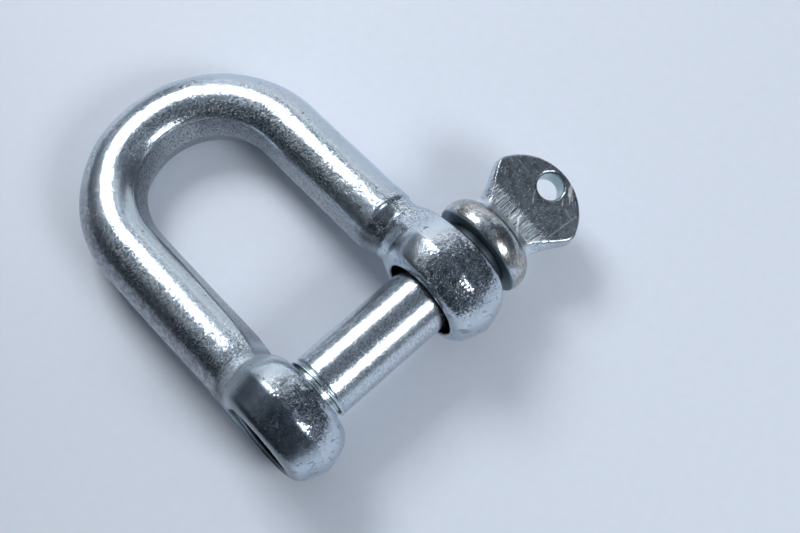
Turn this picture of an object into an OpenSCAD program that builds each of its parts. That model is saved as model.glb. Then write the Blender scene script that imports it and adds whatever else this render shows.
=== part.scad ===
// Chain joining shackle: a forged dee bow and its screw collar pin, lying on its side.
// X runs along the pin towards the key, Y from the pin to the crown, Z up.
// The origin is on the pin axis, halfway across the jaw.

/* [Bow] */
// Diameter of the forged round bar
bar_d = 15.8; // [15:0.1:16.6]
// Clear width between the inner faces of the two eyes
jaw_w = 30.2; // [28:0.2:34]
// Pin axis to the inside of the crown
inside_l = 67.7; // [60:0.5:78]
// Half angle of the trimmed side that faces into the dee
trim_angle = 40; // [32:1:46]
// How far the trimmed side stands back at the parting line
trim_back = 0.15; // [0.05:0.05:0.3]
// Pin axis to the step where the bar ends, on the plain eye's leg
neck_plain = 19.5; // [18:0.1:24]
// Pin axis to the soft end of the bar, on the threaded eye's leg
neck_tapped = 16.5; // [15.5:0.1:20]
// Depth of the necked-down length between bar and eye
neck_depth = 0.7; // [0.3:0.1:1]

/* [Eyes] */
// Diameter of an eye over its crest
eye_d = 29.1; // [28:0.1:31]
// Thickness of an eye between its two faces
eye_t = 15.6; // [14.6:0.1:16.4]
// Slope of each band that falls away from the crest
eye_draft = 16; // [12:1:18]
// Radius of the rounded shoulder that runs into the faces
eye_round = 9.25; // [9:0.05:10]
// Diameter of the plain hole
plain_hole_d = 18.8; // [17.8:0.1:19.6]
// Diameter of the tapped hole over its thread roots
tapped_hole_d = 16; // [15.94:0.01:16.1]
// Depth of the flare at the mouth of the tapped hole
mouth_flare = 1; // [0.6:0.1:1.4]
// Bevel on the edges of the plain hole
hole_bevel = 0.6; // [0.2:0.1:0.9]
// Lean of the plain eye's inner face and the tapped eye's outer face, as forged
face_lean = 3.5; // [0:0.5:4]
// How far the two leaning faces stand back on the pin axis
face_back = 0.6; // [0.4:0.05:0.8]
// Half height of the squared shoulder between leg and eye
shoulder_h = 6.6; // [5.6:0.1:7]

/* [Pin] */
// Diameter of the plain shank that carries the load
shank_d = 15.4; // [15:0.02:15.5]
// Diameter over the thread crests
thread_d = 15.82; // [15.6:0.02:15.9]
// Thread shown between the tapped eye and the plain shank
thread_show = 2.2; // [1:0.1:4]
// How far the pin tip lies inside the mouth of the tapped hole
tip_recess = 2.6; // [2:0.1:3.5]
// Bevel at the pin tip
tip_bevel = 1.4; // [0.8:0.1:2]
// Gap left between collar and plain eye
collar_gap = 2.2; // [0.8:0.1:2.8]
// Radius of the half-round collar bead
bead_r = 5.35; // [5:0.05:5.6]
// Distance of the bead's centre from the pin axis
bead_offset = 6.4; // [6:0.05:6.6]
// Flat seat of the collar to the bead's centre
bead_back = 1.9; // [1.5:0.05:2.4]

/* [Key] */
// Radius of the key's round outer end
key_r = 13.2; // [12.4:0.1:14]
// Collar seat to the centre of the round end
key_centre = 13.6; // [13:0.1:14.4]
// Half width of the key where it leaves the collar
key_root = 7.9; // [7.4:0.1:8.2]
// Radius of the hollow flanks
flank_r = 31.5; // [29:0.5:36]
// Thickness of the key
key_t = 6.4; // [5.6:0.1:7]
// Radius of the hollow between key faces and collar
key_fillet = 2.8; // [2:0.1:3]
// Diameter of the mousing hole
mousing_d = 6.2; // [5:0.1:7]
// Collar seat to the mousing hole
mousing_x = 22.2; // [21.4:0.1:23]
// Half width of the flat face where it meets the collar
face_root = 5.4; // [5:0.1:6.4]
// Slope of the bevelled flanks, off the key's face
bevel_slope = 55; // [48:1:62]
// Angle the key has been turned to about the pin axis
key_turn = -19; // [-28:1:20]

/* [Hidden] */
$fn = 96;
bar_r = bar_d / 2;
eye_r = eye_d / 2;
bow_r = jaw_w / 2 + eye_t / 2;
crown_y = inside_l + bar_r;
leg_end = crown_y - bow_r;
rest_tilt = asin((eye_r - bar_r) / crown_y);
neck_r = bar_r - neck_depth;
neck_soft = 2.4;
nose = bar_r - trim_back;
trim_run = (nose - bar_r * cos(trim_angle)) / (bar_r * sin(trim_angle));
past = bar_r + 1;
eye_inner = jaw_w / 2;
eye_outer = jaw_w / 2 + eye_t;
plain_hole_r = plain_hole_d / 2;
tapped_hole_r = tapped_hole_d / 2;
shank_r = shank_d / 2;
thread_r = thread_d / 2;
thread_end = -eye_inner + thread_show;
tip_x = -eye_outer + tip_recess;
seat_x = eye_outer + collar_gap;
bead_x = seat_x + bead_back;
key_x = seat_x + key_centre;
bead_end = bead_x + bead_r;
flank_back = 8.5;
flank_x = bead_end - flank_back;
flank_w = key_root + sqrt(flank_r * flank_r - flank_back * flank_back);
root_h = key_t / 2 + key_fillet;
overlap = 0.5;
shoulder_r = 9.3;
shoulder_end = 12;
shoulder_fade = 4.5;
corner_x = key_x + 3.9;
corner_w = sqrt(key_r * key_r - 3.9 * 3.9);
face_x = bead_end + 0.9;
bevel_run = atan2(corner_w - 0.2 - face_root, corner_x - face_x);

// Round bar with the side towards the dee trimmed to two flat flanks
module bar_section() {
    intersection() {
        circle(r = bar_r);
        polygon([
            [-nose, 0],
            [-nose + past * trim_run, past],
            [past, past],
            [past, -past],
            [-nose + past * trim_run, -past]
        ]);
    }
}

// Half section of an eye: two drafted bands, a crest between them, rounded shoulders
module eye_section() {
    fall = eye_t * tan(eye_draft);
    intersection() {
        translate([0, -eye_t / 2]) square([eye_r + 1, eye_t]);
        polygon([
            [0, -eye_t],
            [eye_r - fall, -eye_t],
            [eye_r, 0],
            [eye_r - fall, eye_t],
            [0, eye_t]
        ]);
        translate([eye_r - eye_round, 0]) circle(r = eye_round);
    }
}

module along_x() {
    rotate([0, 90, 0]) children();
}

module along_y() {
    rotate([-90, 0, 0]) children();
}

module leg(step) {
    translate([bow_r, step, 0]) along_y()
        linear_extrude(height = leg_end - step) bar_section();
}

module neck(step) {
    translate([bow_r, 0, 0]) along_y() cylinder(r = neck_r, h = step + overlap);
}

module eye() {
    translate([bow_r, 0, 0]) along_x() rotate_extrude() eye_section();
}

// Squared outer shoulder where the leg runs into the side of its eye
module shoulder() {
    intersection() {
        union() {
            translate([bow_r, 3, 0]) along_y() cylinder(r = shoulder_r, h = shoulder_end - 3);
            translate([bow_r, shoulder_end, 0]) along_y()
                cylinder(r1 = shoulder_r, r2 = neck_r - 0.1, h = shoulder_fade);
        }
        translate([bow_r, 0, -shoulder_h])
            cube([eye_t / 2 - 0.15, shoulder_end + shoulder_fade, 2 * shoulder_h]);
    }
}

// Forged faces that do not stand square to the pin
module leaning_faces() {
    translate([eye_inner + face_back, 0, 0]) rotate([0, face_lean, 0])
        translate([-4, -eye_d, -eye_d]) cube([4, eye_d + 11.5, 2 * eye_d]);
    translate([-eye_outer + face_back, 0, 0]) rotate([0, face_lean, 0])
        translate([-4, -eye_d, -eye_d]) cube([4, eye_d + 12.5, 2 * eye_d]);
}

module plain_hole() {
    translate([eye_inner - 1, 0, 0]) along_x() cylinder(r = plain_hole_r, h = eye_t + 2);
    translate([eye_inner - 1, 0, 0]) along_x()
        cylinder(r1 = plain_hole_r + hole_bevel + 1, r2 = plain_hole_r, h = hole_bevel + 1);
    translate([eye_outer - hole_bevel, 0, 0]) along_x()
        cylinder(r1 = plain_hole_r, r2 = plain_hole_r + hole_bevel + 1, h = hole_bevel + 1);
}

module tapped_hole() {
    translate([-eye_outer - 1, 0, 0]) along_x() cylinder(r = tapped_hole_r, h = eye_t + 2);
    translate([-eye_outer - 1, 0, 0]) along_x()
        cylinder(r1 = tapped_hole_r + mouth_flare + 1, r2 = tapped_hole_r, h = mouth_flare + 1);
}

module bow() {
    color([0.72, 0.75, 0.78]) rotate([-rest_tilt, 0, 0]) difference() {
        union() {
            translate([0, leg_end, 0]) rotate_extrude(angle = 180)
                translate([bow_r, 0]) bar_section();
            leg(neck_plain);
            neck(neck_plain);
            eye();
            shoulder();
            mirror([1, 0, 0]) {
                leg(neck_tapped + neck_soft);
                translate([bow_r, neck_tapped, 0]) along_y()
                    cylinder(r1 = neck_r, r2 = nose - 0.05, h = neck_soft + 0.02);
                neck(neck_tapped);
                eye();
                shoulder();
            }
        }
        leaning_faces();
        plain_hole();
        tapped_hole();
    }
}

// Pin outline turned about its axis: tip, thread, shank and collar bead
module pin_section() {
    polygon([
        [0, tip_x],
        [thread_r - tip_bevel, tip_x],
        [thread_r, tip_x + tip_bevel],
        [thread_r, thread_end],
        [shank_r, thread_end + thread_r - shank_r],
        [shank_r, seat_x + overlap],
        [0, seat_x + overlap]
    ]);
    intersection() {
        translate([bead_offset, bead_x]) circle(r = bead_r);
        translate([0, seat_x]) square([bead_offset + bead_r + 1, 2 * bead_r]);
    }
    translate([0, seat_x]) square([bead_offset, bead_end - seat_x]);
}

// Key seen on its flat: a round end cut back by two hollow flanks
module key_outline() {
    intersection() {
        translate([key_x, 0]) circle(r = key_r);
        translate([bead_end - 1.5, -key_r]) square([2 * key_r, 2 * key_r]);
        difference() {
            translate([bead_end - 2, -key_r]) square([2 * key_r, 2 * key_r]);
            translate([flank_x, flank_w]) circle(r = flank_r);
            translate([flank_x, -flank_w]) circle(r = flank_r);
        }
    }
}

module key_root_block() {
    difference() {
        intersection() {
            linear_extrude(height = 2 * root_h, center = true) key_outline();
            translate([bead_end - 1, 0, 0]) along_x()
                cylinder(r = bead_offset + 1.9, h = key_fillet + 1);
        }
        for (side = [-1, 1])
            translate([bead_end + key_fillet, 0, side * root_h]) rotate([90, 0, 0])
                cylinder(r = key_fillet, h = 40, center = true);
    }
}

// Bevel that narrows one flat face towards the collar
module flank_bevel() {
    translate([face_x, face_root, key_t / 2]) rotate([0, 0, bevel_run])
        rotate([-bevel_slope, 0, 0]) translate([-12, -6, 0]) cube([40, 30, 16]);
}

module flank_bevels() {
    flank_bevel();
    mirror([0, 1, 0]) flank_bevel();
    mirror([0, 0, 1]) flank_bevel();
    mirror([0, 0, 1]) mirror([0, 1, 0]) flank_bevel();
}

module screw_pin() {
    color([0.66, 0.69, 0.72]) rotate([-rest_tilt, 0, 0]) {
        along_x() rotate_extrude() pin_section();
        rotate([-key_turn, 0, 0]) difference() {
            union() {
                linear_extrude(height = key_t, center = true) key_outline();
                key_root_block();
            }
            flank_bevels();
            translate([seat_x + mousing_x, 0, 0])
                cylinder(d = mousing_d, h = key_t + 4, center = true);
        }
    }
}

bow();
screw_pin();
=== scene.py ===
import math

import bpy
import numpy as np
from mathutils import Matrix, Vector


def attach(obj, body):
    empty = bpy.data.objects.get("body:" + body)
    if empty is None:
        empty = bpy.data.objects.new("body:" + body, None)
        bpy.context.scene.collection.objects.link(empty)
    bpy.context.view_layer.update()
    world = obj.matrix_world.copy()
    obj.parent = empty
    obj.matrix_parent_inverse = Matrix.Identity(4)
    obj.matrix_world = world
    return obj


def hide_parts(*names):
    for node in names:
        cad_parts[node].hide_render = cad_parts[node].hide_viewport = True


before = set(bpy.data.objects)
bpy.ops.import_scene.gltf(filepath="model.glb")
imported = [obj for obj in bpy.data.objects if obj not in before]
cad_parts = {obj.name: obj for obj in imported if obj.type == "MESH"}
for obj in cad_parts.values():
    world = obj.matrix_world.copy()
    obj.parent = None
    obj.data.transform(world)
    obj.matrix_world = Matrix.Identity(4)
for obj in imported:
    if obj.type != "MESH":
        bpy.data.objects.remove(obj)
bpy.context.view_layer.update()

MM = 0.001

# Bow in millimetres, lying in the plane z = 0. Pairs hold the left leg's value, then the right leg's.
BAR_R = 7.9
BOW_R = 22.9
CROWN_Y = 75.6
LEG_END = CROWN_Y - BOW_R
NOSE = 7.75
TRIM_ANGLE = 40.0
LEFT_TRIM_Y = (11.0, 13.5, 19.0, 22.0, 29.0, 42.0, 50.0)
LEFT_TRIM_ANGLE = (60, 58, 51, 47, 43, 38, 40)
LEG_TWIST = 0.07
LEFT_LEG_END = 4.0
LEFT_THINNING = 0.5
NECK_STEP = 19.5
NECK_Y = (12.0, 15.0, NECK_STEP)
NECK_R = (6.2, 6.25, 7.6)
NECK_REACH = 11.0
SHOULDER_R = 9.3
SHOULDER_FADE = (2.6, 1.45)
SHOULDER_HALF = (6.6, 7.3)
SHOULDER_MIDDLE = (10.5, 12.5)
SHOULDER_REACH = (7.5, 10.0)
SHOULDER_PROUD = 0.05
CORNER_FACET = (1.0, 3.0)
OUTER_BLEND = 4.5

# Eyes
EYE_R = 14.55
EYE_DRAFT = math.radians(16)
EYE_ROUND = 9.25
EYE_FULLER = 1.4
EYE_INNER = 15.1
EYE_OUTER = 30.7
RIM_ROUND = (1.6, 2.4)
FACE_BACK = 0.6
FACE_LEAN = math.radians(3.5)
MOUTH_BACK = 0.2
MOUTH_LEAN = math.radians(1.6)
PLAIN_HOLE_R = 9.4

# Ring that carries the thread of the left eye, united with the bow
LINER_BORE = 8.85
LINER_OUT = 9.7
LINER_CREST = 8.0
LINER_ROOT = 8.75
LINER_SUNK = 0.35
LINER_FLARE = 0.75
HOLE_R = (LINER_BORE, PLAIN_HOLE_R)

# Pin, thread and collar
SHANK_R = 7.7
THREAD_R = 7.9
THREAD_ROOT = 6.95
THREAD_END = -12.9
PITCH = 2.0
TIP_X = -28.1
TIP_BEVEL = 1.4
SEAT_X = 32.9
BEAD_X = 34.8
BEAD_R = 5.35
BEAD_OFFSET = 6.4
BEAD_END = BEAD_X + BEAD_R

# Key
KEY_X = 46.5
KEY_R = 13.2
KEY_HALF = 3.2
KEY_ROOT = 7.9
KEY_SUNK = 3.0
KEY_DRAFT = 0.10
KEY_TURN = math.radians(19)
KEY_FILLET = 3.2
FLANK_R = 31.5
FLANK_BACK = 8.5
FLANK_X = BEAD_END - FLANK_BACK
FLANK_W = KEY_ROOT + math.sqrt(FLANK_R ** 2 - FLANK_BACK ** 2)
FACE_ROOT = 5.4
FACE_X = BEAD_END + 0.9
CORNER_PAST = 3.9
CORNER_X = KEY_X + CORNER_PAST
CORNER_W = math.sqrt(KEY_R ** 2 - CORNER_PAST ** 2)
CORNER_EASE = 0.2
BEVEL_SLOPE = math.radians(55)
MOUSING_X = SEAT_X + 22.2
MOUSING_R = 3.1

# How it lies
REST_TILT = math.asin((EYE_R - BAR_R) / CROWN_Y)
FLOOR_Z = -EYE_R

# Fineness of the meshes
BOW_CELL = 0.45
BOW_LOW, BOW_HIGH = (-31.8, -15.6, -15.6), (31.8, 84.9, 15.6)
HEAD_CELL = 0.32
HEAD_LOW, HEAD_HIGH = (31.5, -16.0, -16.0), (61.5, 16.0, 16.0)
AROUND = 160
LINER_RINGS = 90
THREAD_STEP = 0.14
SHANK_RINGS = 60
NEWTON_LIMIT = 0.4
RELAX_ROUNDS = 3
RELAX_SHARE = 0.6
SHARP_ANGLE = math.radians(50)


def smin(a, b, k):
    """Smaller of two distances, rounded over a width k."""
    h = np.maximum(k - np.abs(a - b), 0.0) / k
    return np.minimum(a, b) - h * h * k * 0.25


def smax(a, b, k):
    return -smin(-a, -b, k)


def faceted(a, b, width):
    """Union with a flat facet of that width in the corner."""
    return smin(np.minimum(a, b), (a + b - width) * 0.7071, 0.25)


def ramp(v, start, end):
    t = np.clip((v - start) / (end - start), 0.0, 1.0)
    return t * t * (3.0 - 2.0 * t)


def band(v, start, full, ebb, end):
    """Rises from start to full and falls from ebb to end."""
    return ramp(v, start, full) * (1.0 - ramp(v, ebb, end))


def sided(right, pair):
    return np.where(right, pair[1], pair[0])


def value_noise(p, seed):
    """Smooth noise from -1 to 1, one lattice cell per unit of p."""
    cell = np.floor(p).astype(np.int64)
    f = p - cell
    f = f * f * (3.0 - 2.0 * f)
    total = np.zeros(len(p))
    for dx in (0, 1):
        for dy in (0, 1):
            for dz in (0, 1):
                n = (cell[:, 0] + dx) * 374761393 + (cell[:, 1] + dy) * 668265263
                n = n + (cell[:, 2] + dz) * 1103515245 + seed * 12345701
                n = (n ^ (n >> 13)) * 1274126177
                n = (n ^ (n >> 16)) & 0xFFFFFF
                w = np.where(dx, f[:, 0], 1 - f[:, 0])
                w = w * np.where(dy, f[:, 1], 1 - f[:, 1])
                w = w * np.where(dz, f[:, 2], 1 - f[:, 2])
                total += w * (n / float(0xFFFFFF))
    return total * 2.0 - 1.0


def bar_parts(p):
    """Place across the bar, and distances to the round bar and to its trimmed inner flank."""
    x, y, z = p[:, 0], p[:, 1], p[:, 2]
    bend = np.hypot(x, np.maximum(y - LEG_END, 0.0)) - BOW_R
    u = np.where(y > LEG_END, bend, np.abs(x) - BOW_R)
    crease = np.radians(np.where(x > 0, TRIM_ANGLE, np.interp(y, LEFT_TRIM_Y, LEFT_TRIM_ANGLE)))
    cu = NOSE - BAR_R * np.cos(crease)
    cw = BAR_R * np.sin(crease)
    flank = (np.abs(z) * cu - (u + NOSE) * cw) / np.hypot(cu, cw)
    twist = LEG_TWIST * ramp(x, 0.0, 12.0) * (1.0 - ramp(y, 50.0, 70.0))
    return u, np.hypot(u, z - twist * u) - BAR_R, flank


def eye_barrel(p):
    """Two drafted bands with a soft crest between them and rounded shoulders."""
    rho = np.hypot(p[:, 1], p[:, 2])
    s = np.abs(p[:, 0]) - BOW_R
    crest = np.sqrt(s * s + 0.04) - 0.2
    draft = (rho - EYE_R + crest * math.tan(EYE_DRAFT)) * math.cos(EYE_DRAFT)
    shoulder = np.hypot(rho - EYE_R + EYE_ROUND, s) - EYE_ROUND
    fuller = EYE_FULLER * ramp(s, 2.0, 6.0) * ramp(p[:, 2], 0.0, 8.0)
    return smax(draft, shoulder - fuller, 0.5)


def eye_sdf(p, right):
    """One eye, before its hole, with the faces that lean as forged."""
    x, z = p[:, 0], p[:, 2]
    ax = np.abs(x)
    lean_c, lean_s = math.cos(FACE_LEAN), math.sin(FACE_LEAN)
    inner_right = -((x - EYE_INNER - FACE_BACK) * lean_c - z * lean_s)
    outer_left = -((x + EYE_OUTER - MOUTH_BACK) * math.cos(MOUTH_LEAN) - z * math.sin(MOUTH_LEAN))
    near_face = np.where(right, inner_right, EYE_INNER - ax)
    far_face = np.where(right, ax - EYE_OUTER, outer_left)
    return smax(smax(eye_barrel(p), near_face, 0.8), far_face, sided(right, RIM_ROUND))


def shoulder_sdf(p, u, right):
    """Squared outer shoulder where a leg runs into the side of its eye."""
    y, z = p[:, 1], p[:, 2]
    r = SHOULDER_R - sided(right, SHOULDER_FADE) * ramp(y, 11.0, 18.0)
    body = smax(np.hypot(u, z) - r, np.abs(z) - sided(right, SHOULDER_HALF), 2.0)
    ends = np.abs(y - sided(right, SHOULDER_MIDDLE)) - sided(right, SHOULDER_REACH)
    body = smax(smax(body, np.abs(p[:, 0]) - EYE_OUTER - SHOULDER_PROUD, 1.0), ends, 1.0)
    return smax(body, 0.5 - u, 2.0)


def bow_sdf(p):
    x, y, z = p[:, 0], p[:, 1], p[:, 2]
    right = x > 0
    ax = np.abs(x)
    u, disc, flank = bar_parts(p)
    bar = smax(disc, flank, 0.3)
    shoulder = shoulder_sdf(p, u, right)
    eye = eye_sdf(p, right)

    leg_right = smax(bar, NECK_STEP - y, 0.25)
    neck = smax(np.hypot(u, z) - np.interp(y, NECK_Y, NECK_R), np.abs(y - NECK_REACH) - NECK_REACH, 0.2)
    stem_right = smin(smin(leg_right, neck, 0.3), shoulder, 1.2)
    cornered = faceted(stem_right, eye, np.interp(u, (-6.0, 0.0), CORNER_FACET))
    outer_half = ramp(u, 0.0, 3.0)
    body_right = cornered * (1.0 - outer_half) + smin(stem_right, eye, OUTER_BLEND) * outer_half
    body_right = smax(body_right, ax - EYE_OUTER - 2.0 * ramp(y, 14.0, 20.0), 0.4)

    leg_left = smax(bar + LEFT_THINNING * (1.0 - ramp(y, 10.5, 19.0)), LEFT_LEG_END - y, 1.0)
    body_left = smin(smin(leg_left, shoulder, 1.5), eye, 1.0)

    body = np.where(right, body_right, body_left)
    body = np.where(y < LEG_END, smax(body, EYE_INNER - ax, 0.3), body)
    return smax(body, sided(right, HOLE_R) - np.hypot(y, z), 0.7)


def key_parts(p):
    """Key coordinates: along the pin, across the key and through its thickness."""
    c, s = math.cos(KEY_TURN), math.sin(KEY_TURN)
    return p[:, 0], p[:, 1] * c + p[:, 2] * s, p[:, 2] * c - p[:, 1] * s


def head_sdf(p):
    """Half-round collar and flat key, filleted into each other."""
    x, across, through = key_parts(p)
    rho = np.hypot(p[:, 1], p[:, 2])
    bead = np.hypot(rho - BEAD_OFFSET, x - BEAD_X) - BEAD_R
    core = smax(rho - BEAD_OFFSET, x - BEAD_END, 0.4)
    collar = smax(np.minimum(bead, core), SEAT_X - x, 0.5)
    a, t = np.abs(across), np.abs(through)
    disc = np.hypot(x - KEY_X, across) - KEY_R
    hollow = FLANK_R - np.hypot(x - FLANK_X, a - FLANK_W)
    side = smax(disc, hollow, 1.6) + KEY_DRAFT * (t - 0.6)
    run = math.atan2(CORNER_W - CORNER_EASE - FACE_ROOT, CORNER_X - FACE_X)
    off = (a - FACE_ROOT) * math.cos(run) - (x - FACE_X) * math.sin(run)
    bevel = off * math.sin(BEVEL_SLOPE) + (t - KEY_HALF) * math.cos(BEVEL_SLOPE)
    key = smax(smax(side, t - KEY_HALF, 0.7), bevel, 0.5)
    key = smax(key, SEAT_X + KEY_SUNK - x, 0.5)
    key = smax(key, MOUSING_R - np.hypot(x - MOUSING_X, across), 0.8)
    return smin(collar, key, KEY_FILLET)


def slope(sdf, p, eps=0.02):
    g = np.empty_like(p)
    for k in range(3):
        step = np.zeros(3)
        step[k] = eps
        g[:, k] = (sdf(p + step) - sdf(p - step)) / (2 * eps)
    return g


def onto(sdf, p, rounds):
    """Points brought onto the surface by Newton steps of limited length."""
    for _ in range(rounds):
        g = slope(sdf, p)
        size = np.maximum((g * g).sum(1), 0.05)
        p = p - g * np.clip(sdf(p) / size, -NEWTON_LIMIT, NEWTON_LIMIT)[:, None]
    return p


def settled(inside):
    """Fills grid corners that meet only across a diagonal.

    They would leave edges shared by four faces.
    """
    for _ in range(4):
        for a, b in ((0, 1), (1, 2), (0, 2)):
            v = np.moveaxis(inside, (a, b), (0, 1))
            p00, p10, p01, p11 = v[:-1, :-1], v[1:, :-1], v[:-1, 1:], v[1:, 1:]
            rising = p00 & p11 & ~p10 & ~p01
            falling = p10 & p01 & ~p00 & ~p11
            p10 |= rising
            p01 |= rising
            p00 |= falling
            p11 |= falling
    return inside


def surface_net(sdf, low, high, cell):
    """Quad mesh of the surface where sdf is 0, with vertices brought onto it."""
    low = np.array(low, float)
    n = np.ceil((np.array(high, float) - low) / cell).astype(int) + 1
    axes = [low[k] + cell * np.arange(n[k]) for k in range(3)]
    nodes = np.stack(np.meshgrid(*axes, indexing="ij"), -1).reshape(-1, 3)
    inside = settled((sdf(nodes) < 0).reshape(n))
    count = np.zeros(n - 1, int)
    for dx in (0, 1):
        for dy in (0, 1):
            for dz in (0, 1):
                count += inside[dx:n[0] - 1 + dx, dy:n[1] - 1 + dy, dz:n[2] - 1 + dz]
    active = (count > 0) & (count < 8)
    index = np.full(n - 1, -1)
    index[active] = np.arange(active.sum())
    p = low + cell * (np.argwhere(active) + 0.5)
    quads = []
    for k in range(3):
        edge = inside != np.roll(inside, -1, axis=k)
        cut = [slice(1, n[m] - 1) for m in range(3)]
        cut[k] = slice(0, n[k] - 1)
        crossed = np.zeros(n, bool)
        crossed[tuple(cut)] = edge[tuple(cut)]
        at = np.argwhere(crossed)
        b, c = (k + 1) % 3, (k + 2) % 3
        ring = []
        for db, dc in ((1, 1), (0, 1), (0, 0), (1, 0)):
            q = at.copy()
            q[:, b] -= db
            q[:, c] -= dc
            ring.append(index[tuple(q.T)])
        ring = np.stack(ring, 1)
        flip = ~inside[tuple(at.T)]
        ring[flip] = ring[flip][:, ::-1]
        quads.append(ring)
    quads = np.concatenate(quads)
    p = onto(sdf, p, 3)
    links = np.concatenate([quads[:, [m, (m + 1) % 4]] for m in range(4)])
    degree = np.maximum(np.bincount(links[:, 0], minlength=len(p)), 1)
    for _ in range(RELAX_ROUNDS):
        mean = np.stack([
            np.bincount(links[:, 0], p[links[:, 1], k], len(p)) / degree for k in range(3)
        ], 1)
        p = onto(sdf, p + RELAX_SHARE * (mean - p), 1)
    return onto(sdf, p, 1), quads


def turns():
    return np.linspace(0, 2 * math.pi, AROUND, endpoint=False)[None, :]


def thread_depth(x, turn):
    """0 on the crest and 1 in the root of a right-hand thread with flat crests and roots."""
    phase = np.mod(x / PITCH - turn / (2 * math.pi) + 0.1, 1.0)
    return np.clip(1.25 * (1.0 - np.abs(2.0 * phase - 1.0)) - 0.125, 0.0, 1.0)


def lathe(x, r, looped):
    """Rings of points at axial places x and radii r. Looped rings join up, others get end caps."""
    rings = len(x)
    turn = turns()
    p = np.stack([x, r * np.cos(turn), r * np.sin(turn)], -1).reshape(-1, 3)
    i = np.arange(rings if looped else rings - 1)[:, None]
    j = np.arange(AROUND)[None, :]
    ahead = (i + 1) % rings
    after = (j + 1) % AROUND
    corners = ((i, j), (ahead, j), (ahead, after), (i, after))
    quads = np.stack([row * AROUND + column for row, column in corners], -1).reshape(-1, 4)
    if looped:
        return p, quads.tolist()
    last = (rings - 1) * AROUND
    middles = [[x[0, 0], 0.0, 0.0], [x[-1, 0], 0.0, 0.0]]
    faces = quads[:, ::-1].tolist()
    for k in range(AROUND):
        following = (k + 1) % AROUND
        faces.append([len(p), following, k])
        faces.append([len(p) + 1, last + k, last + following])
    return np.concatenate([p, middles]), faces


def make_mesh(name, p, faces):
    """Object with a mesh of points in millimetres, before the tilt at rest."""
    mesh = bpy.data.meshes.new(name)
    mesh.from_pydata((p * MM).tolist(), [], [list(f) for f in faces])
    mesh.validate()
    obj = bpy.data.objects.new(name, mesh)
    bpy.context.scene.collection.objects.link(obj)
    return obj


def joined(obj, other):
    """obj united with other, which is removed."""
    mod = obj.modifiers.new("unite", "BOOLEAN")
    mod.operation = "UNION"
    mod.solver = "MANIFOLD"
    mod.object = other
    bpy.context.view_layer.update()
    deps = bpy.context.evaluated_depsgraph_get()
    mesh = bpy.data.meshes.new_from_object(obj.evaluated_get(deps))
    obj.modifiers.clear()
    old = obj.data
    obj.data = mesh
    mesh.name = obj.name
    bpy.data.meshes.remove(old)
    bpy.data.objects.remove(other)
    return obj


def of_vertices(obj, what):
    values = np.empty(len(obj.data.vertices) * 3)
    obj.data.vertices.foreach_get(what, values)
    return values.reshape(-1, 3)


def paint(obj, **zones):
    """One value for each vertex and zone, which the finish follows."""
    for name, values in zones.items():
        layer = obj.data.attributes.new(name, "FLOAT", "POINT")
        layer.data.foreach_set("value", np.ascontiguousarray(values, np.float32))


def to_rest(obj, p):
    """Writes points back, turned about the pin axis to the tilt at rest."""
    c, s = math.cos(REST_TILT), math.sin(REST_TILT)
    q = np.stack([p[:, 0], p[:, 1] * c + p[:, 2] * s, p[:, 2] * c - p[:, 1] * s], 1)
    obj.data.vertices.foreach_set("co", np.ascontiguousarray(q * MM, np.float32).ravel())
    obj.data.update()


def build_bow():
    """One forging, with the thread cut in its left eye."""
    bow = make_mesh("shackle_bow", *surface_net(bow_sdf, BOW_LOW, BOW_HIGH, BOW_CELL))
    turn = turns()
    mouth = -EYE_OUTER + MOUTH_BACK + LINER_SUNK + LINER_OUT * np.sin(turn) * math.tan(MOUTH_LEAN)
    inner_end = -EYE_INNER - LINER_SUNK
    share = np.linspace(0, 1, LINER_RINGS)[:, None]
    x = mouth * (1 - share) + inner_end * share
    r = LINER_CREST + (LINER_ROOT - LINER_CREST) * (1.0 - thread_depth(x, turn))
    r = r + LINER_FLARE * (1.0 - ramp(share, 0.0, 0.05))
    x = np.concatenate([x, x[-1:], x[:1]])
    r = np.concatenate([r, np.full((2, AROUND), LINER_OUT)])
    return joined(bow, make_mesh("liner", *lathe(x, r, True)))


def build_pin():
    """Shank and thread on a lathe grid, united with the collar and key."""
    tip = np.array([TIP_X, TIP_X + TIP_BEVEL])
    threaded = np.arange(TIP_X + TIP_BEVEL + 0.15, THREAD_END + 1.2, THREAD_STEP)
    plain = np.linspace(THREAD_END + 1.3, SEAT_X + 1.0, SHANK_RINGS)
    x = np.concatenate([tip, threaded, plain])[:, None] * np.ones((1, AROUND))
    cut = thread_depth(x, turns()) * (1.0 - ramp(x, THREAD_END - 0.4, THREAD_END + 0.5))
    outer = SHANK_R + (THREAD_R - SHANK_R) * (1.0 - ramp(x, THREAD_END - 0.3, THREAD_END + 0.2))
    r = outer - cut * (outer - THREAD_ROOT)
    r = np.minimum(r, THREAD_R - TIP_BEVEL + (x - TIP_X))
    shank = make_mesh("shank", *lathe(x, r, False))
    pin = make_mesh("shackle_pin", *surface_net(head_sdf, HEAD_LOW, HEAD_HIGH, HEAD_CELL))
    return joined(pin, shank)


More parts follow.
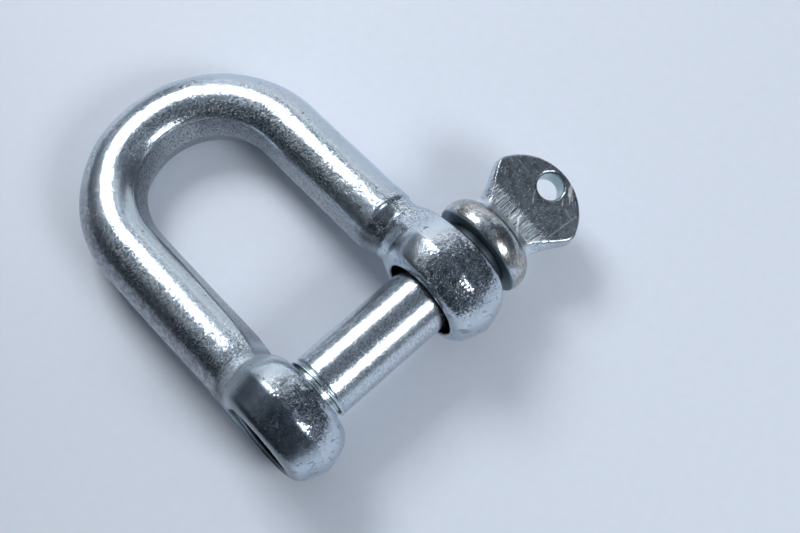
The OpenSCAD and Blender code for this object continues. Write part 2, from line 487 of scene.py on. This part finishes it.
def dress_bow(bow):
    """Forging unevenness, the tilt at rest and the zones of the finish and of its painted shade."""
    p = of_vertices(bow, "co") / MM
    n = of_vertices(bow, "normal")
    rho = np.hypot(p[:, 1], p[:, 2])
    u, disc, flank = bar_parts(p)
    right = p[:, 0] > 0
    eye = 1.0 - ramp(p[:, 1], 6.0, 12.0)
    # bore marks the walls of the eye holes, painted near-black as painted shade.
    bore_edge = sided(right, HOLE_R) + sided(right, (0.25, 0.05))
    bore = (1.0 - ramp(rho - bore_edge, 0.0, 0.35)) * (np.abs(np.abs(p[:, 0]) - BOW_R) < 8.2)
    # neck marks the concave right neck, darkened as painted shade.
    neck = ramp(p[:, 0], 14.0, 16.0) * band(p[:, 1], 14.2, 15.0, 18.7, 19.3) * (1.0 - ramp(u, 0.5, 3.0))
    facet = ramp(flank - disc, -0.05, 0.25) * ramp(p[:, 1], 14.0, 18.0)
    swell = 0.10 * value_noise(p / 11.0, 3) + 0.03 * value_noise(p / 4.5, 5)
    dents = 0.03 * value_noise(p / 2.2, 7) * eye
    p = p + n * ((swell + dents) * (1.0 - bore))[:, None]
    to_rest(bow, p)
    x, y = p[:, 0], p[:, 1]
    front = 1.0 - ramp(y, 0.0, 5.0)
    paint(
        bow,
        eye=eye,
        bore=bore,
        facet=facet,
        up=ramp(np.abs(n[:, 2]), 0.35, 0.75),
        neck=neck,
        front=front,
        calm=eye * (1.0 - front),
        # lip: around the mouth of the left hole, darker as painted shade.
        lip=(1.0 - ramp(x, -30.0, -28.8)) * ramp(rho, 8.9, 9.4) * (1.0 - ramp(y, 5.0, 12.0)),
        # Sides turned towards +x: smoother grain, and darker and bluer as painted shade.
        sheen=ramp(n[:, 0], 0.08, 0.35) * ramp(y, 17.0, 25.0),
        shade=ramp(-n[:, 0], 0.35, 0.75) * (x < 0) * ramp(y, 8.0, 13.0),
        # joint: where the left leg meets its eye, rougher and darker as painted shade.
        joint=(x < 0) * band(y, 8.0, 10.5, 12.5, 15.5),
        # mouth: near the left hole's opening, where the painted shade in the bore is lighter.
        mouth=(1.0 - ramp(x, -30.2, -28.6)) * ramp(y, -1.0, 6.0),
        # Outer band of the left eye; where it faces up it gets painted shade, near-black.
        gloss=eye * ramp(-BOW_R - x, -0.2, 0.3),
    )


def dress_pin(pin):
    """Unevenness of collar and key, the tilt at rest and the zones of the finish and of its painted
    shade.
    """
    p = of_vertices(pin, "co") / MM
    n = of_vertices(pin, "normal")
    rho = np.hypot(p[:, 1], p[:, 2])
    x, across, through = key_parts(p)
    key = ramp(x, BEAD_END - 0.6, BEAD_END + 1.2)
    # seat: collar underside and the shank before it, darkened as painted shade.
    seat = band(x, SEAT_X - 4.0, SEAT_X - 3.0, SEAT_X + 0.12, SEAT_X + 0.3)
    swell = 0.07 * value_noise(p / 7.0, 11) + 0.03 * value_noise(p / 2.5, 13)
    to_rest(pin, p + n * (swell * ramp(x, SEAT_X - 1.0, SEAT_X + 1.0))[:, None])
    paint(
        pin,
        # face: the key's flat faces, with scoring and painted shade.
        face=key * ramp(np.abs(through), KEY_HALF - 0.5, KEY_HALF - 0.15),
        bead=ramp(x, SEAT_X + 0.2, SEAT_X + 0.6) * (1.0 - key),
        key=key,
        seat=seat,
        gap=seat * (1.0 - ramp(rho, SHANK_R + 0.2, SHANK_R + 1.2)),
        eyelet=1.0 - ramp(np.hypot(x - MOUSING_X, across), MOUSING_R + 0.1, MOUSING_R + 0.35),
        root=band(x, BEAD_END - 0.6, BEAD_END, BEAD_END + 1.9, BEAD_END + 2.3),
        scored=band(x, BEAD_END + 1.8, BEAD_END + 2.2, BEAD_END + 4.0, BEAD_END + 7.0),
        thread=1.0 - ramp(x, THREAD_END - 0.3, THREAD_END + 0.3),
    )


bow = build_bow()
pin = build_pin()
dress_bow(bow)
dress_pin(pin)

for obj in (bow, pin):
    obj.data.polygons.foreach_set("use_smooth", np.ones(len(obj.data.polygons), bool))
    obj.data.set_sharp_from_angle(angle=SHARP_ANGLE)

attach(bow, "bow")
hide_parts("bow")
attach(pin, "screw_pin")
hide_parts("screw_pin")


class Graph:
    """Short names for the nodes of one material."""

    def __init__(self, name):
        self.mat = bpy.data.materials.new(name)
        self.mat.use_nodes = True
        self.tree = self.mat.node_tree
        self.tree.nodes.clear()
        out = self.node("OutputMaterial")
        self.bsdf = self.node("BsdfPrincipled")
        self.tree.links.new(self.bsdf.outputs[0], out.inputs[0])
        self.coord = self.node("TexCoord").outputs["Object"]

    def node(self, kind):
        return self.tree.nodes.new("ShaderNode" + kind)

    def put(self, socket, value):
        if isinstance(value, bpy.types.NodeSocket):
            self.tree.links.new(value, socket)
        else:
            socket.default_value = value

    def attr(self, name):
        node = self.node("Attribute")
        node.attribute_name = name
        return node.outputs["Fac"]

    def noise(self, scale, detail, rough, stretch=None):
        """Noise, drawn out in the bow's plane where stretch gives an angle and a factor."""
        node = self.node("TexNoise")
        node.inputs["Scale"].default_value = scale
        node.inputs["Detail"].default_value = detail
        node.inputs["Roughness"].default_value = rough
        vector = self.coord
        if stretch:
            place = self.node("Mapping")
            place.vector_type = "TEXTURE"
            place.inputs["Rotation"].default_value = (0.0, 0.0, stretch[0])
            place.inputs["Scale"].default_value = (stretch[1], 1.0, 1.0)
            self.tree.links.new(self.coord, place.inputs["Vector"])
            vector = place.outputs[0]
        self.tree.links.new(vector, node.inputs["Vector"])
        return node.outputs[0]

    def vector(self, kind, a, b):
        node = self.node("VectorMath")
        node.operation = kind
        self.put(node.inputs[0], a)
        self.put(node.inputs[1], b)
        return node.outputs["Value" if kind == "DOT_PRODUCT" else "Vector"]

    def crystals(self, scale):
        """Height of small flat cells, each tilted its own way."""
        cells = self.node("TexVoronoi")
        cells.inputs["Scale"].default_value = scale
        self.tree.links.new(self.coord, cells.inputs["Vector"])
        away = self.vector("SUBTRACT", self.coord, cells.outputs["Position"])
        lean = self.vector("SUBTRACT", cells.outputs["Color"], (0.5, 0.5, 0.5))
        return self.vector("DOT_PRODUCT", away, lean)

    def along(self, direction):
        """Distance along a direction in the bow's plane."""
        return self.vector("DOT_PRODUCT", self.coord, (direction[0], direction[1], 0.0))

    def scratch(self, start, end, half_width, fade):
        """Fine straight line seen from above. All four are in millimetres."""
        a, b = Vector(start) * MM, Vector(end) * MM
        run = (b - a).normalized()
        beside = Vector((-run.y, run.x))
        off = self.math("ABSOLUTE", self.math("SUBTRACT", self.along(beside), a.dot(beside)))
        line = self.span(off, half_width * MM, 0.3 * half_width * MM)
        place = self.along(run)
        line = self.times(line, self.span(place, a.dot(run), a.dot(run) + fade * MM))
        return self.times(line, self.span(place, b.dot(run), b.dot(run) - fade * MM))

    def math(self, kind, a, b=0.0, clamp=False):
        node = self.node("Math")
        node.operation = kind
        node.use_clamp = clamp
        self.put(node.inputs[0], a)
        self.put(node.inputs[1], b)
        return node.outputs[0]

    def times(self, a, b):
        return self.math("MULTIPLY", a, b)

    def rest(self, a):
        return self.math("SUBTRACT", 1.0, a)

    def span(self, value, a, b, c=0.0, d=1.0):
        """value carried from the range a to b over to the range c to d."""
        node = self.node("MapRange")
        self.put(node.inputs["Value"], value)
        for name, limit in (("From Min", a), ("From Max", b), ("To Min", c), ("To Max", d)):
            node.inputs[name].default_value = limit
        return node.outputs[0]

    def mix(self, fac, a, b):
        node = self.node("Mix")
        node.data_type = "RGBA"
        self.put(node.inputs[0], fac)
        for socket, value in ((node.inputs[6], a), (node.inputs[7], b)):
            self.put(socket, value if isinstance(value, bpy.types.NodeSocket) else (*value, 1.0))
        return node.outputs[2]

    def layered(self, tint, layers):
        """Each layer's colour over the ones before it, where its zone is, by its share."""
        for zone, share, colour in layers:
            tint = self.mix(zone if share == 1.0 else self.times(zone, share), tint, colour)
        return tint

    def summed(self, value, parts):
        for zone, amount in parts:
            value = self.math("ADD", value, self.times(zone, amount))
        return value

    def bump(self, height, distance, strength, below=None):
        node = self.node("Bump")
        node.inputs["Distance"].default_value = distance
        self.put(node.inputs["Strength"], strength)
        self.put(node.inputs["Height"], height)
        if below is not None:
            self.tree.links.new(below, node.inputs["Normal"])
        return node.outputs[0]

    def metal(self, tint, rough, normal):
        self.put(self.bsdf.inputs["Base Color"], tint)
        self.put(self.bsdf.inputs["Roughness"], rough)
        self.put(self.bsdf.inputs["Normal"], normal)
        self.bsdf.inputs["Metallic"].default_value = 1.0
        return self.mat


ACROSS_VIEW = math.radians(-42.5)
SCRATCHES = (((53.6, 8.4), (53.2, 4.8)), ((46.4, -8.6), (55.3, -9.35)), ((54.0, -6.4), (53.4, -9.2)))
SCRATCH_HALF = 0.14
SCRATCH_FADE = 0.5


def bow_finish_and_painted_shade():
    """Bright zinc: grainy on the bar, sparkling on the fronts of the eyes, dull in the joints, with
    painted shade in the holes, the left joint and the right neck, on the tops and sides of the eyes and
    on sides of the bar.
    """
    g = Graph("bow_zinc_finish_and_painted_shade")
    eye, bore, facet, neck = g.attr("eye"), g.attr("bore"), g.attr("facet"), g.attr("neck")
    up, front, gloss, calm = g.attr("up"), g.attr("front"), g.attr("gloss"), g.attr("calm")
    sheen, shade, joint = g.attr("sheen"), g.attr("shade"), g.attr("joint")
    # top and side carry painted shade: tops of the eye fronts darker and greyer, sides of the eyes
    # darker and bluer.
    top = g.times(front, up)
    side = g.times(eye, g.rest(up))

    dots = g.span(g.noise(760, 2, 0.5), 0.70, 0.73)
    pocks = g.times(g.span(g.noise(2500, 1, 0.5), 0.52, 0.60), facet)
    dashes = g.times(g.span(g.noise(900, 2, 0.5, (ACROSS_VIEW, 3.5)), 0.62, 0.67), side)
    blot = g.times(g.span(g.noise(800, 3, 0.6), 0.50, 0.60), top)
    blot = g.times(blot, g.span(gloss, 0.0, 1.0, 0.6, 0.1))
    murk = g.times(g.span(g.noise(520, 3, 0.6), 0.50, 0.40), top)
    patch = g.span(g.noise(70, 2, 0.5), 0.38, 0.60, 0.5, 1.0)
    pitted = g.times(g.span(g.noise(2600, 1, 0.5), 0.53, 0.43), g.span(up, 0.0, 1.0, 0.08, 0.75))
    pitted = g.times(pitted, g.times(patch, g.rest(calm)))
    pitted = g.times(pitted, g.span(sheen, 0.0, 1.0, 1.0, 0.2))
    streaked = g.times(shade, g.span(g.noise(900, 3, 0.6), 0.40, 0.60, 0.6, 1.0))

    drift = g.span(g.noise(90, 3, 0.55), 0.35, 0.65)
    tint = g.layered(g.mix(drift, (0.63, 0.72, 0.80), (0.72, 0.78, 0.83)), (
        # Painted shade: sides turned towards +x darker and bluer.
        (sheen, 0.5, (0.50, 0.58, 0.66)),
        # Painted shade on the tops of the eye fronts.
        (facet, 0.8, (0.36, 0.38, 0.40)),
        (top, 0.5, (0.38, 0.43, 0.48)),
        # Painted shade: the upward-facing part of the left eye's outer band near-black.
        (g.times(gloss, up), 1.0, (0.14, 0.17, 0.21)),
        (blot, 1.0, (0.66, 0.73, 0.80)),
        (murk, 0.6, (0.15, 0.17, 0.20)),
        (pitted, 1.0, (0.10, 0.135, 0.175)),
        (pocks, 0.7, (0.12, 0.13, 0.14)),
        (dots, 0.8, (0.07, 0.07, 0.07)),
        # Painted shade on the sides of the eyes.
        (side, 0.3, (0.45, 0.52, 0.60)),
        (dashes, 0.6, (0.14, 0.16, 0.18)),
        # Painted shade: darker in the concave right neck, around the mouth of the left hole and in the
        # left joint.
        (neck, 0.6, (0.26, 0.28, 0.31)),
        (g.attr("lip"), 1.0, (0.26, 0.28, 0.31)),
        (joint, 0.6, (0.38, 0.42, 0.46)),
        (streaked, 1.0, (0.22, 0.23, 0.25)),
        # Painted shade: hole walls near-black, lighter teal near the left hole's mouth.
        (bore, 1.0, g.mix(g.attr("mouth"), (0.03, 0.034, 0.038), (0.22, 0.28, 0.31))),
    ))

    rough = g.summed(g.span(g.noise(330, 3, 0.55), 0.3, 0.7, 0.18, 0.25), (
        (facet, 0.08), (eye, -0.08), (gloss, 0.14), (calm, 0.12), (joint, 0.34),
    ))

    sparkle = g.times(front, g.span(gloss, 0.0, 1.0, 1.0, 0.6))
    coarse = g.bump(g.crystals(3600), 0.20, sparkle)
    plain = g.rest(g.math("MAXIMUM", front, g.times(calm, 0.8)))
    plain = g.times(plain, g.span(sheen, 0.0, 1.0, 1.0, 0.4))
    fine = g.bump(g.crystals(4200), 0.13, plain, coarse)
    uneven = g.math("ADD", g.times(top, 0.10), g.times(facet, 0.6))
    wide = g.bump(g.noise(620, 3, 0.6), 0.00022, g.math("ADD", uneven, 0.08, True), fine)
    return g.metal(tint, rough, g.bump(dots, -0.00008, 0.7, wide))


def pin_finish_and_painted_shade():
    """Bright zinc: stained on the collar, scored and scratched on the key's faces, with painted shade
    on those faces, under the collar, in the collar gap and in the mousing hole.
    """
    g = Graph("pin_zinc_finish_and_painted_shade")
    face, bead, key, seat = g.attr("face"), g.attr("bead"), g.attr("key"), g.attr("seat")

    stain = g.times(bead, g.span(g.noise(180, 3, 0.6), 0.38, 0.58))
    murk = g.times(g.span(g.noise(620, 3, 0.6), 0.52, 0.42), g.math("ADD", face, bead, True))
    grain = g.span(g.noise(2800, 1, 0.5), 0.52, 0.42)
    scores = g.times(g.span(g.noise(4200, 1, 0.5, (0.0, 32.0)), 0.46, 0.55), g.attr("scored"))
    pale_root_and_scores = g.math("MAXIMUM", g.times(g.attr("root"), 0.6), g.times(scores, 0.6))
    nick = g.span(g.noise(700, 2, 0.5, (0.7, 14.0)), 0.66, 0.69)
    for start, end in SCRATCHES:
        line = g.scratch(start, end, SCRATCH_HALF, SCRATCH_FADE)
        nick = g.math("MAXIMUM", nick, g.times(line, 0.5))
    nick = g.times(face, nick)

    drift = g.span(g.noise(110, 3, 0.55), 0.35, 0.65)
    tint = g.layered(g.mix(drift, (0.62, 0.70, 0.77), (0.70, 0.76, 0.81)), (
        (stain, 0.65, (0.48, 0.40, 0.29)),
        # Painted shade: the key's flat faces darker.
        (face, 0.8, (0.33, 0.36, 0.39)),
        (murk, 0.5, (0.17, 0.18, 0.19)),
        (grain, 0.5, (0.20, 0.22, 0.25)),
        # Lighter and bluer at the key's root and along its score lines.
        (pale_root_and_scores, 1.0, (0.80, 0.90, 0.98)),
        (nick, 1.0, (0.85, 0.87, 0.90)),
        # Painted shade: collar underside darker, the shank in the gap between eye and collar darker
        # still.
        (seat, 1.0, g.mix(g.attr("gap"), (0.25, 0.32, 0.36), (0.08, 0.10, 0.12))),
        (g.attr("thread"), 1.0, (0.76, 0.84, 0.86)),
        # Painted shade: the wall of the mousing hole darker and tealer.
        (g.attr("eyelet"), 1.0, (0.36, 0.49, 0.51)),
    ))

    rough = g.summed(g.span(g.noise(420, 3, 0.55), 0.3, 0.7, 0.18, 0.25), (
        (seat, 0.3), (pale_root_and_scores, 0.22), (nick, 0.2),
    ))

    fine = g.bump(g.crystals(4200), 0.16, g.span(face, 0.0, 1.0, 0.6, 1.0))
    wide = g.bump(g.noise(1300, 3, 0.6), 0.00008, g.math("ADD", key, 0.1, True), fine)
    return g.metal(tint, rough, g.bump(scores, 0.00005, 1.0, wide))


def table_finish():
    """Pale and matt, a little darker on the left of the view."""
    g = Graph("table_finish")
    shade = g.span(g.along((math.cos(ACROSS_VIEW), math.sin(ACROSS_VIEW))), -0.10, 0.0)
    tint = g.mix(shade, (0.71, 0.755, 0.835), (0.825, 0.88, 0.975))
    dust = g.span(g.noise(420, 3, 0.6), 0.35, 0.65, 0.0, 0.05)
    g.put(g.bsdf.inputs["Base Color"], g.mix(dust, tint, (0.5, 0.53, 0.6)))
    g.bsdf.inputs["Roughness"].default_value = 0.55
    return g.mat


for obj, finish in ((bow, bow_finish_and_painted_shade()), (pin, pin_finish_and_painted_shade())):
    obj.data.materials.clear()
    obj.data.materials.append(finish)
    obj.data.polygons.foreach_set("material_index", np.zeros(len(obj.data.polygons), np.int32))

# Plain pale table
bpy.ops.mesh.primitive_plane_add(size=1.6, location=(0.0, 0.02, FLOOR_Z * MM))
table = bpy.context.object
table.name = "table"
table.data.materials.append(table_finish())

# Camera fitted to the photograph's 800 x 533 frame, its place in millimetres
FORWARD = (0.242561, 0.263191, -0.933753)
RIGHT = (0.736958, -0.675938, 0.000917)
PLACE = (-48.286, -63.263, 255.454)
FOCAL_PIXELS = 1241.013
FRAME_PIXELS = 800.0
SENSOR = 36.0

scene = bpy.context.scene
camera = bpy.data.objects.new("camera", bpy.data.cameras.new("camera"))
scene.collection.objects.link(camera)
forward = Vector(FORWARD).normalized()
right = Vector(RIGHT).normalized()
up = right.cross(forward).normalized()
place = Vector(PLACE) * MM
camera.matrix_world = Matrix((
    (right.x, up.x, -forward.x, place.x),
    (right.y, up.y, -forward.y, place.y),
    (right.z, up.z, -forward.z, place.z),
    (0.0, 0.0, 0.0, 1.0),
))
camera.data.sensor_width = SENSOR
camera.data.sensor_fit = "HORIZONTAL"
camera.data.lens = SENSOR * FOCAL_PIXELS / FRAME_PIXELS
camera.data.clip_start = 0.01
scene.camera = camera

# Two soft boxes, two faint glows behind them, a white card on the right and a dim overhead fill
LIGHT_COLOUR = (0.94, 0.97, 1.0)
LIGHT_AIM = Vector((0.0, 0.025, 0.0))


def soft_box(name, toward, distance, width, height, radiance):
    light = bpy.data.lights.new(name, "AREA")
    light.shape = "RECTANGLE"
    light.size = width
    light.size_y = height
    light.energy = radiance * math.pi * width * height
    light.color = LIGHT_COLOUR
    obj = bpy.data.objects.new(name, light)
    scene.collection.objects.link(obj)
    aim = Vector(toward).normalized()
    obj.location = aim * distance + LIGHT_AIM
    obj.rotation_euler = aim.to_track_quat("Z", "Y").to_euler()
    obj.visible_camera = False
    return obj


soft_box("box_far", (0.16, 0.65, 0.725), 0.70, 0.28, 0.28, 9.4)
soft_box("box_near", (0.143, -0.755, 0.65), 0.70, 0.27, 0.21, 10.5)
soft_box("glow", (-0.22, 0.60, 0.76), 0.72, 0.62, 0.50, 0.20)
soft_box("halo", (0.62, 0.42, 0.66), 0.72, 0.26, 0.40, 0.40)
soft_box("card", (0.80, 0.56, 0.27), 0.60, 0.72, 0.36, 0.72)
overhead = soft_box("overhead", (0.0, 0.0, 1.0), 1.0, 1.2, 1.2, 0.20)
overhead.visible_glossy = False

# Dim bluish room, lighter in its middle from left to right
ROOM_LEFT = (0.30, (0.036, 0.042, 0.052, 1.0))
ROOM_RIGHT = (0.85, (0.074, 0.085, 0.103, 1.0))
ROOM_MIDDLE = ((0.55, 0.17), (0.68, 0.18))
ROOM_HUE = (0.93, 1.07, 1.29)

world = bpy.data.worlds.new("room")
scene.world = world
world.use_nodes = True
tree = world.node_tree
sky = tree.nodes["Background"]
where = tree.nodes.new("ShaderNodeTexCoord")
parts = tree.nodes.new("ShaderNodeSeparateXYZ")
fade = tree.nodes.new("ShaderNodeValToRGB")
for element, (at, colour) in zip(fade.color_ramp.elements, (ROOM_LEFT, ROOM_RIGHT)):
    element.position = at
    element.color = colour
for at, level in ROOM_MIDDLE:
    fade.color_ramp.elements.new(at).color = (*(level * part for part in ROOM_HUE), 1.0)
shift = tree.nodes.new("ShaderNodeMath")
shift.operation = "MULTIPLY_ADD"
shift.inputs[1].default_value = 0.5
shift.inputs[2].default_value = 0.5
tree.links.new(where.outputs["Generated"], parts.inputs[0])
tree.links.new(parts.outputs["X"], shift.inputs[0])
tree.links.new(shift.outputs[0], fade.inputs[0])
tree.links.new(fade.outputs[0], sky.inputs["Color"])
sky.inputs["Strength"].default_value = 1.0

scene.view_settings.view_transform = "Standard"
